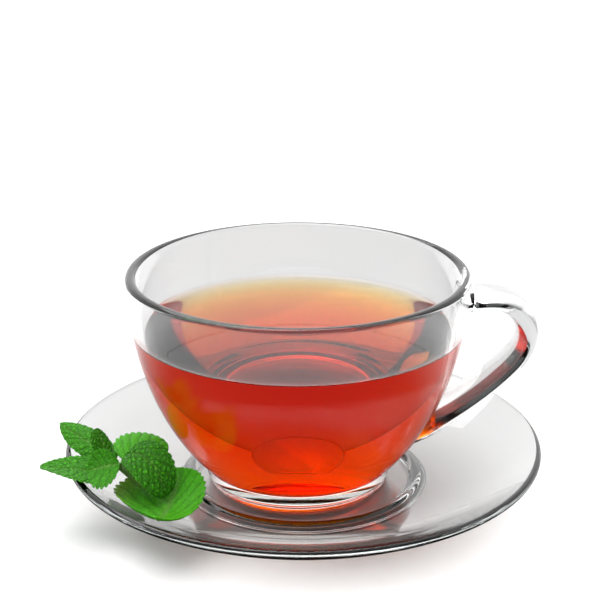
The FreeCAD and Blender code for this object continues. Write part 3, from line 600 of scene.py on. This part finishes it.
def leaf_mesh(shape, seed):
    """Both faces of a blade: curled across on an arc, swept to the tip, and raised by its
    pucker, with a thickness that thins to the margin."""
    turn = np.linspace(0, np.pi, LEAF_ROWS)
    along = ((1 - np.cos(turn)) / 2 * 0.35 + turn / np.pi * 0.65)[:, None]
    side = np.sin(np.linspace(-np.pi / 2, np.pi / 2, LEAF_COLUMNS) * 0.98)[None]
    side = side / np.abs(side).max()
    along, side = np.broadcast_arrays(along, side)
    middle, ahead, right, face = midrib_frame(shape, along)
    half = half_width(shape, along, side)
    curl = np.radians(shape["curl"])
    lateral, lift = np.sin(curl * side) / curl, (1 - np.cos(curl * side)) / curl
    outward = face * np.cos(curl * side)[..., None] - right * np.sin(curl * side)[..., None]
    sheet = middle + right * (half * lateral)[..., None] + face * (half * lift)[..., None]
    sheet = sheet + ahead * (shape["sweep"] * half * np.abs(side))[..., None]
    height, vein_shade_mask, midrib = veins(shape, along, side, seed)
    narrow = np.clip(half / (shape["width"] * 0.2), 0, 1)
    raised = (height * shape["pucker"] * narrow)[..., None]
    thick = (BLADE_THICKNESS * (1 - 0.6 * np.abs(side) ** 6))[..., None] / 2
    top = sheet + outward * (raised + thick)
    under = sheet + outward * (raised * 0.8 - thick)
    points = np.concatenate([top.reshape(-1, 3), under.reshape(-1, 3)])
    up = np.arange(top.shape[0] * top.shape[1]).reshape(top.shape[:2])
    down = up + up.size
    upper = np.stack([up[:-1, :-1], up[:-1, 1:], up[1:, 1:], up[1:, :-1]], axis=-1)
    upper = upper.reshape(-1, 4)
    lower = np.stack([down[:-1, :-1], down[1:, :-1], down[1:, 1:], down[:-1, 1:]], axis=-1)
    lower = lower.reshape(-1, 4)
    rim = np.concatenate([up[0], up[1:, -1], up[-1, -2::-1], up[-2:0:-1, 0]])
    following = np.roll(rim, -1)
    edge = np.stack([rim, rim + up.size, following + up.size, following], axis=-1)
    layers = [np.tile(layer.ravel(), 2) for layer in (vein_shade_mask, midrib, half * side)]
    return points, np.concatenate([upper, lower, edge]).tolist(), *layers


def leaf_material():
    """Leaf green: brighter on the swollen cells, with painted shade in the furrows between them and
    along the sunken veins, paler along the midrib, and yellower to one margin where the leaf is older;
    leaves that lie in shade are painted a darker green as a whole. The cells are a Voronoi pattern's
    distance to its edges, strayed by noise, which also drives the relief."""
    material = bpy.data.materials.new("MintLeaf")
    material.use_nodes = True
    nodes, links = material.node_tree.nodes, material.node_tree.links
    skin = nodes["Principled BSDF"]

    def attribute(name):
        node = nodes.new("ShaderNodeAttribute")
        node.attribute_name = name
        return node.outputs["Fac"]

    def mixed(first, second, factor):
        node = nodes.new("ShaderNodeMix")
        node.data_type = "RGBA"
        for target, value in zip(node.inputs[6:8], (first, second)):
            if isinstance(value, tuple):
                target.default_value = (*value, 1)
            else:
                links.new(value, target)
        links.new(factor, node.inputs["Factor"])
        return node.outputs[2]

    coords = nodes.new("ShaderNodeTexCoord")
    mottle = nodes.new("ShaderNodeTexNoise")
    mottle.inputs["Scale"].default_value = 260.0
    mottle.inputs["Detail"].default_value = 4.0
    links.new(coords.outputs["Object"], mottle.inputs["Vector"])
    # Painted light and shade: the darker green is painted on leaves that lie in shade, the brighter one
    # on lit leaves, as the per-leaf layer sets.
    young = mixed((0.014, 0.100, 0.002), (0.032, 0.175, 0.004), mottle.outputs["Fac"])
    lit_green = mixed((0.050, 0.330, 0.005), (0.085, 0.470, 0.010), mottle.outputs["Fac"])
    blade = mixed(young, lit_green, attribute("painted_light"))
    aged = mixed(blade, (0.24, 0.34, 0.03), attribute("yellowing"))
    # Painted shade: a darker green along the sunken veins.
    vein_shade = mixed(aged, (0.010, 0.060, 0.004), attribute("vein"))
    ribbed = mixed(vein_shade, (0.16, 0.34, 0.06), attribute("midrib"))
    cells = nodes.new("ShaderNodeTexVoronoi")
    cells.feature = "DISTANCE_TO_EDGE"
    cells.inputs["Scale"].default_value = 720.0
    stray = nodes.new("ShaderNodeVectorMath")
    stray.operation = "MULTIPLY_ADD"
    stray.inputs[1].default_value = (0.0016, 0.0016, 0.0016)
    links.new(mottle.outputs["Color"], stray.inputs[0])
    links.new(coords.outputs["Object"], stray.inputs[2])
    links.new(stray.outputs["Vector"], cells.inputs["Vector"])
    swell = nodes.new("ShaderNodeMapRange")
    swell.interpolation_type = "SMOOTHSTEP"
    swell.inputs["From Max"].default_value = 0.34
    links.new(cells.outputs["Distance"], swell.inputs["Value"])
    # Painted shade: the furrows between the cells are darkened by as much as the leaf's crumple, which
    # also drives the bump.
    furrow_shade = nodes.new("ShaderNodeMath")
    furrow_shade.operation = "MULTIPLY_ADD"
    furrow_shade.inputs[1].default_value = -1.0
    furrow_shade.inputs[2].default_value = 1.0
    links.new(swell.outputs["Result"], furrow_shade.inputs[0])
    depth = nodes.new("ShaderNodeMath")
    depth.operation = "MULTIPLY"
    links.new(furrow_shade.outputs["Value"], depth.inputs[0])
    links.new(attribute("crumple_and_shade"), depth.inputs[1])
    furrow_shaded = mixed(ribbed, (0.016, 0.100, 0.003), depth.outputs["Value"])
    links.new(furrow_shaded, skin.inputs["Base Color"])
    relief = nodes.new("ShaderNodeBump")
    relief.inputs["Distance"].default_value = 0.0006
    links.new(attribute("crumple_and_shade"), relief.inputs["Strength"])
    links.new(swell.outputs["Result"], relief.inputs["Height"])
    links.new(relief.outputs["Normal"], skin.inputs["Normal"])
    skin.inputs["Roughness"].default_value = 0.5
    skin.inputs["Specular IOR Level"].default_value = 0.14
    skin.inputs["Subsurface Weight"].default_value = 0.12
    skin.inputs["Subsurface Radius"].default_value = (0.0008, 0.0015, 0.0004)
    return material


mint_leaf_green = leaf_material()
for seed, leaf_name in enumerate(LEAF_POSES):
    shape = dict(zip(LEAF_POSE + LEAF_SKIN, LEAF_POSES[leaf_name] + LEAF_SKINS[leaf_name]))
    points, faces, vein_shade, ribbed, off_midrib = leaf_mesh(shape, float(seed * 1.7))
    leaf = new_piece(f"mint_blade_{leaf_name}", set_over(points, f"mint_leaf_{leaf_name}"), faces)
    to_margin = np.clip(np.abs(off_midrib) / (shape["width"] / 2) - 0.75, 0, 0.5)
    # The vein layer and the per-leaf brightness layer are painted shade: they darken the sunken veins
    # and the whole of each leaf that lies in shade.
    layers = {
        "vein": vein_shade * 0.75,
        "midrib": ribbed * 0.6,
        "crumple_and_shade": np.full(len(points), shape["crumple_and_shade"]),
        "painted_light": np.full(len(points), shape["painted_light"]),
        "yellowing": shape["yellowing"] * 2 * to_margin * (off_midrib < 0),
    }
    for layer, values in layers.items():
        set_layer(leaf, layer, values)
    leaf.data.materials.append(mint_leaf_green)
    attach(leaf, "root")
    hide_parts(f"mint_leaf_{leaf_name}")


# ================================================================== the studio
# A wide pale table under one soft lamp above and behind, in a pale room. The room is darker on the
# camera's side, and mirrored rays find a painted dark patch of table in front of the object, a painted
# reflection in place of a black card, so that the glass shows its edges and the tea its depth. Seen
# through glass, the table is painted darker as painted shade.

TABLE_HALF = 3.0
TABLE_PALE = 0.93
# Painted shade: the table's colour is darker where it is seen through glass than where the camera sees
# it directly.
TABLE_THROUGH_GLASS = 0.47    # how pale it is where it is seen through glass
# Painted reflection: only mirrored rays see the table darkened in a round patch in front of the object.
PATCH_PLACE = (-0.02, -0.12, 0.0)
PATCH_EDGE = (0.13, 0.26)
PATCH_DARK, PATCH_AROUND = 0.05, 0.80
table_mesh = bpy.data.meshes.new("pale_table")
table_mesh.from_pydata(
    [(-TABLE_HALF, -TABLE_HALF, 0), (TABLE_HALF, -TABLE_HALF, 0),
     (TABLE_HALF, TABLE_HALF, 0), (-TABLE_HALF, TABLE_HALF, 0)], [], [(0, 1, 2, 3)],
)
table = bpy.data.objects.new("pale_table", table_mesh)
bpy.context.scene.collection.objects.link(table)
table_paint = bpy.data.materials.new("PaleTable")
table_paint.use_nodes = True
table_skin = table_paint.node_tree.nodes["Principled BSDF"]
table_skin.inputs["Roughness"].default_value = 0.6
table_skin.inputs["Specular IOR Level"].default_value = 0.2
table_nodes, table_links = table_paint.node_tree.nodes, table_paint.node_tree.links
table_place = table_nodes.new("ShaderNodeTexCoord")
table_from = table_nodes.new("ShaderNodeVectorMath")
table_from.operation = "DISTANCE"
table_from.inputs[1].default_value = PATCH_PLACE
table_links.new(table_place.outputs["Object"], table_from.inputs[0])
table_fade = table_nodes.new("ShaderNodeMapRange")
table_fade.interpolation_type = "SMOOTHSTEP"
table_fade.inputs["From Min"].default_value = PATCH_EDGE[0]
table_fade.inputs["From Max"].default_value = PATCH_EDGE[1]
table_fade.inputs["To Min"].default_value = PATCH_DARK
table_fade.inputs["To Max"].default_value = PATCH_AROUND
table_links.new(table_from.outputs["Value"], table_fade.inputs["Value"])
table_ray = table_nodes.new("ShaderNodeLightPath")
table_mirrored = table_nodes.new("ShaderNodeMath")
table_mirrored.operation = "GREATER_THAN"
table_mirrored.inputs[1].default_value = 0.5
table_links.new(table_ray.outputs["Glossy Depth"], table_mirrored.inputs[0])
table_shade = table_nodes.new("ShaderNodeMix")
table_shade.data_type = "FLOAT"
table_seen = table_nodes.new("ShaderNodeMapRange")
table_seen.inputs["To Min"].default_value = TABLE_PALE
table_seen.inputs["To Max"].default_value = TABLE_THROUGH_GLASS
table_links.new(table_ray.outputs["Transmission Depth"], table_seen.inputs["Value"])
table_links.new(table_seen.outputs["Result"], table_shade.inputs["A"])
table_links.new(table_mirrored.outputs["Value"], table_shade.inputs["Factor"])
table_links.new(table_fade.outputs["Result"], table_shade.inputs["B"])
table_links.new(table_shade.outputs["Result"], table_skin.inputs["Base Color"])
table_mesh.materials.append(table_paint)

world = bpy.data.worlds.new("Studio")
world.use_nodes = True
bpy.context.scene.world = world
sky_nodes, sky_links = world.node_tree.nodes, world.node_tree.links
sky = sky_nodes["Background"]
direction = sky_nodes.new("ShaderNodeTexCoord")
split = sky_nodes.new("ShaderNodeSeparateXYZ")
sky_links.new(direction.outputs["Generated"], split.inputs["Vector"])


def from_front(front, back):
    """Brightness by direction: front on the camera's side of the object, back on the far side."""
    fade = sky_nodes.new("ShaderNodeMapRange")
    fade.interpolation_type = "SMOOTHSTEP"
    fade.inputs["From Min"].default_value = -0.75
    fade.inputs["From Max"].default_value = 0.25
    fade.inputs["To Min"].default_value = front
    fade.inputs["To Max"].default_value = back
    sky_links.new(split.outputs["Y"], fade.inputs["Value"])
    return fade.outputs["Result"]


def choose(which, no, yes):
    """One brightness where a light-path output is over a half and another elsewhere."""
    over = sky_nodes.new("ShaderNodeMath")
    over.operation = "GREATER_THAN"
    over.inputs[1].default_value = 0.5
    sky_links.new(seen.outputs[which], over.inputs[0])
    pick = sky_nodes.new("ShaderNodeMix")
    pick.data_type = "FLOAT"
    sky_links.new(over.outputs["Value"], pick.inputs["Factor"])
    for socket, value in (("A", no), ("B", yes)):
        if isinstance(value, float):
            pick.inputs[socket].default_value = value
        else:
            sky_links.new(value, pick.inputs[socket])
    return pick.outputs["Result"]


def darker_sides(painted_light, least):
    """The same brightness, falling to a share of itself to the left and the right."""
    across = sky_nodes.new("ShaderNodeMath")
    across.operation = "ABSOLUTE"
    sky_links.new(split.outputs["X"], across.inputs[0])
    fall = sky_nodes.new("ShaderNodeMapRange")
    fall.interpolation_type = "SMOOTHSTEP"
    fall.inputs["From Min"].default_value = 0.30
    fall.inputs["From Max"].default_value = 0.80
    fall.inputs["To Min"].default_value = 1.0
    fall.inputs["To Max"].default_value = least
    sky_links.new(across.outputs["Value"], fall.inputs["Value"])
    product = sky_nodes.new("ShaderNodeMath")
    product.operation = "MULTIPLY"
    sky_links.new(painted_light, product.inputs[0])
    sky_links.new(fall.outputs["Result"], product.inputs[1])
    return product.outputs["Value"]


seen = sky_nodes.new("ShaderNodeLightPath")
through = darker_sides(from_front(0.80, 1.15), 0.75)
mirrored = darker_sides(from_front(0.30, 1.60), 0.70)
by_glass = choose("Glossy Depth", through, mirrored)
by_kind = choose("Is Diffuse Ray", by_glass, from_front(1.1, 1.25))
sky_links.new(choose("Is Camera Ray", by_kind, 1.0), sky.inputs["Strength"])
sky.inputs["Color"].default_value = (1, 1, 1, 1)


def look_along(way):
    """The rotation that points -Z along a way, with +Y up."""
    return Vector(way).to_track_quat("-Z", "Y").to_euler()


def soft_light(name, place, aim, size, power):
    """A square area light of that size, turned to face the aim."""
    lamp = bpy.data.lights.new(name, "AREA")
    lamp.shape = "SQUARE"
    lamp.size = size
    lamp.energy = power
    light = bpy.data.objects.new(name, lamp)
    bpy.context.scene.collection.objects.link(light)
    light.location = place
    light.rotation_euler = look_along(np.subtract(aim, place))
    return light


LAMP_PLACE, LAMP_AIM = (-0.28, 0.26, 0.92), (0, 0, 0.02)
LAMP_SIZE, LAMP_POWER = 0.9, 6.5
soft_light("overhead", LAMP_PLACE, LAMP_AIM, LAMP_SIZE, LAMP_POWER)

CAMERA_PLACE = (-0.00102, -0.39045, 0.19787)
CAMERA_AIM = (-0.00102, 0.0, 0.05975)
LENS_MM, SENSOR_MM = 85.9, 36.0
lens = bpy.data.cameras.new("Camera")
lens.lens = LENS_MM
lens.sensor_width = SENSOR_MM
lens.clip_start = 0.01
camera = bpy.data.objects.new("Camera", lens)
bpy.context.scene.collection.objects.link(camera)
camera.location = CAMERA_PLACE
camera.rotation_euler = look_along(np.subtract(CAMERA_AIM, CAMERA_PLACE))
bpy.context.scene.camera = camera
bpy.context.scene.view_settings.view_transform = "Standard"
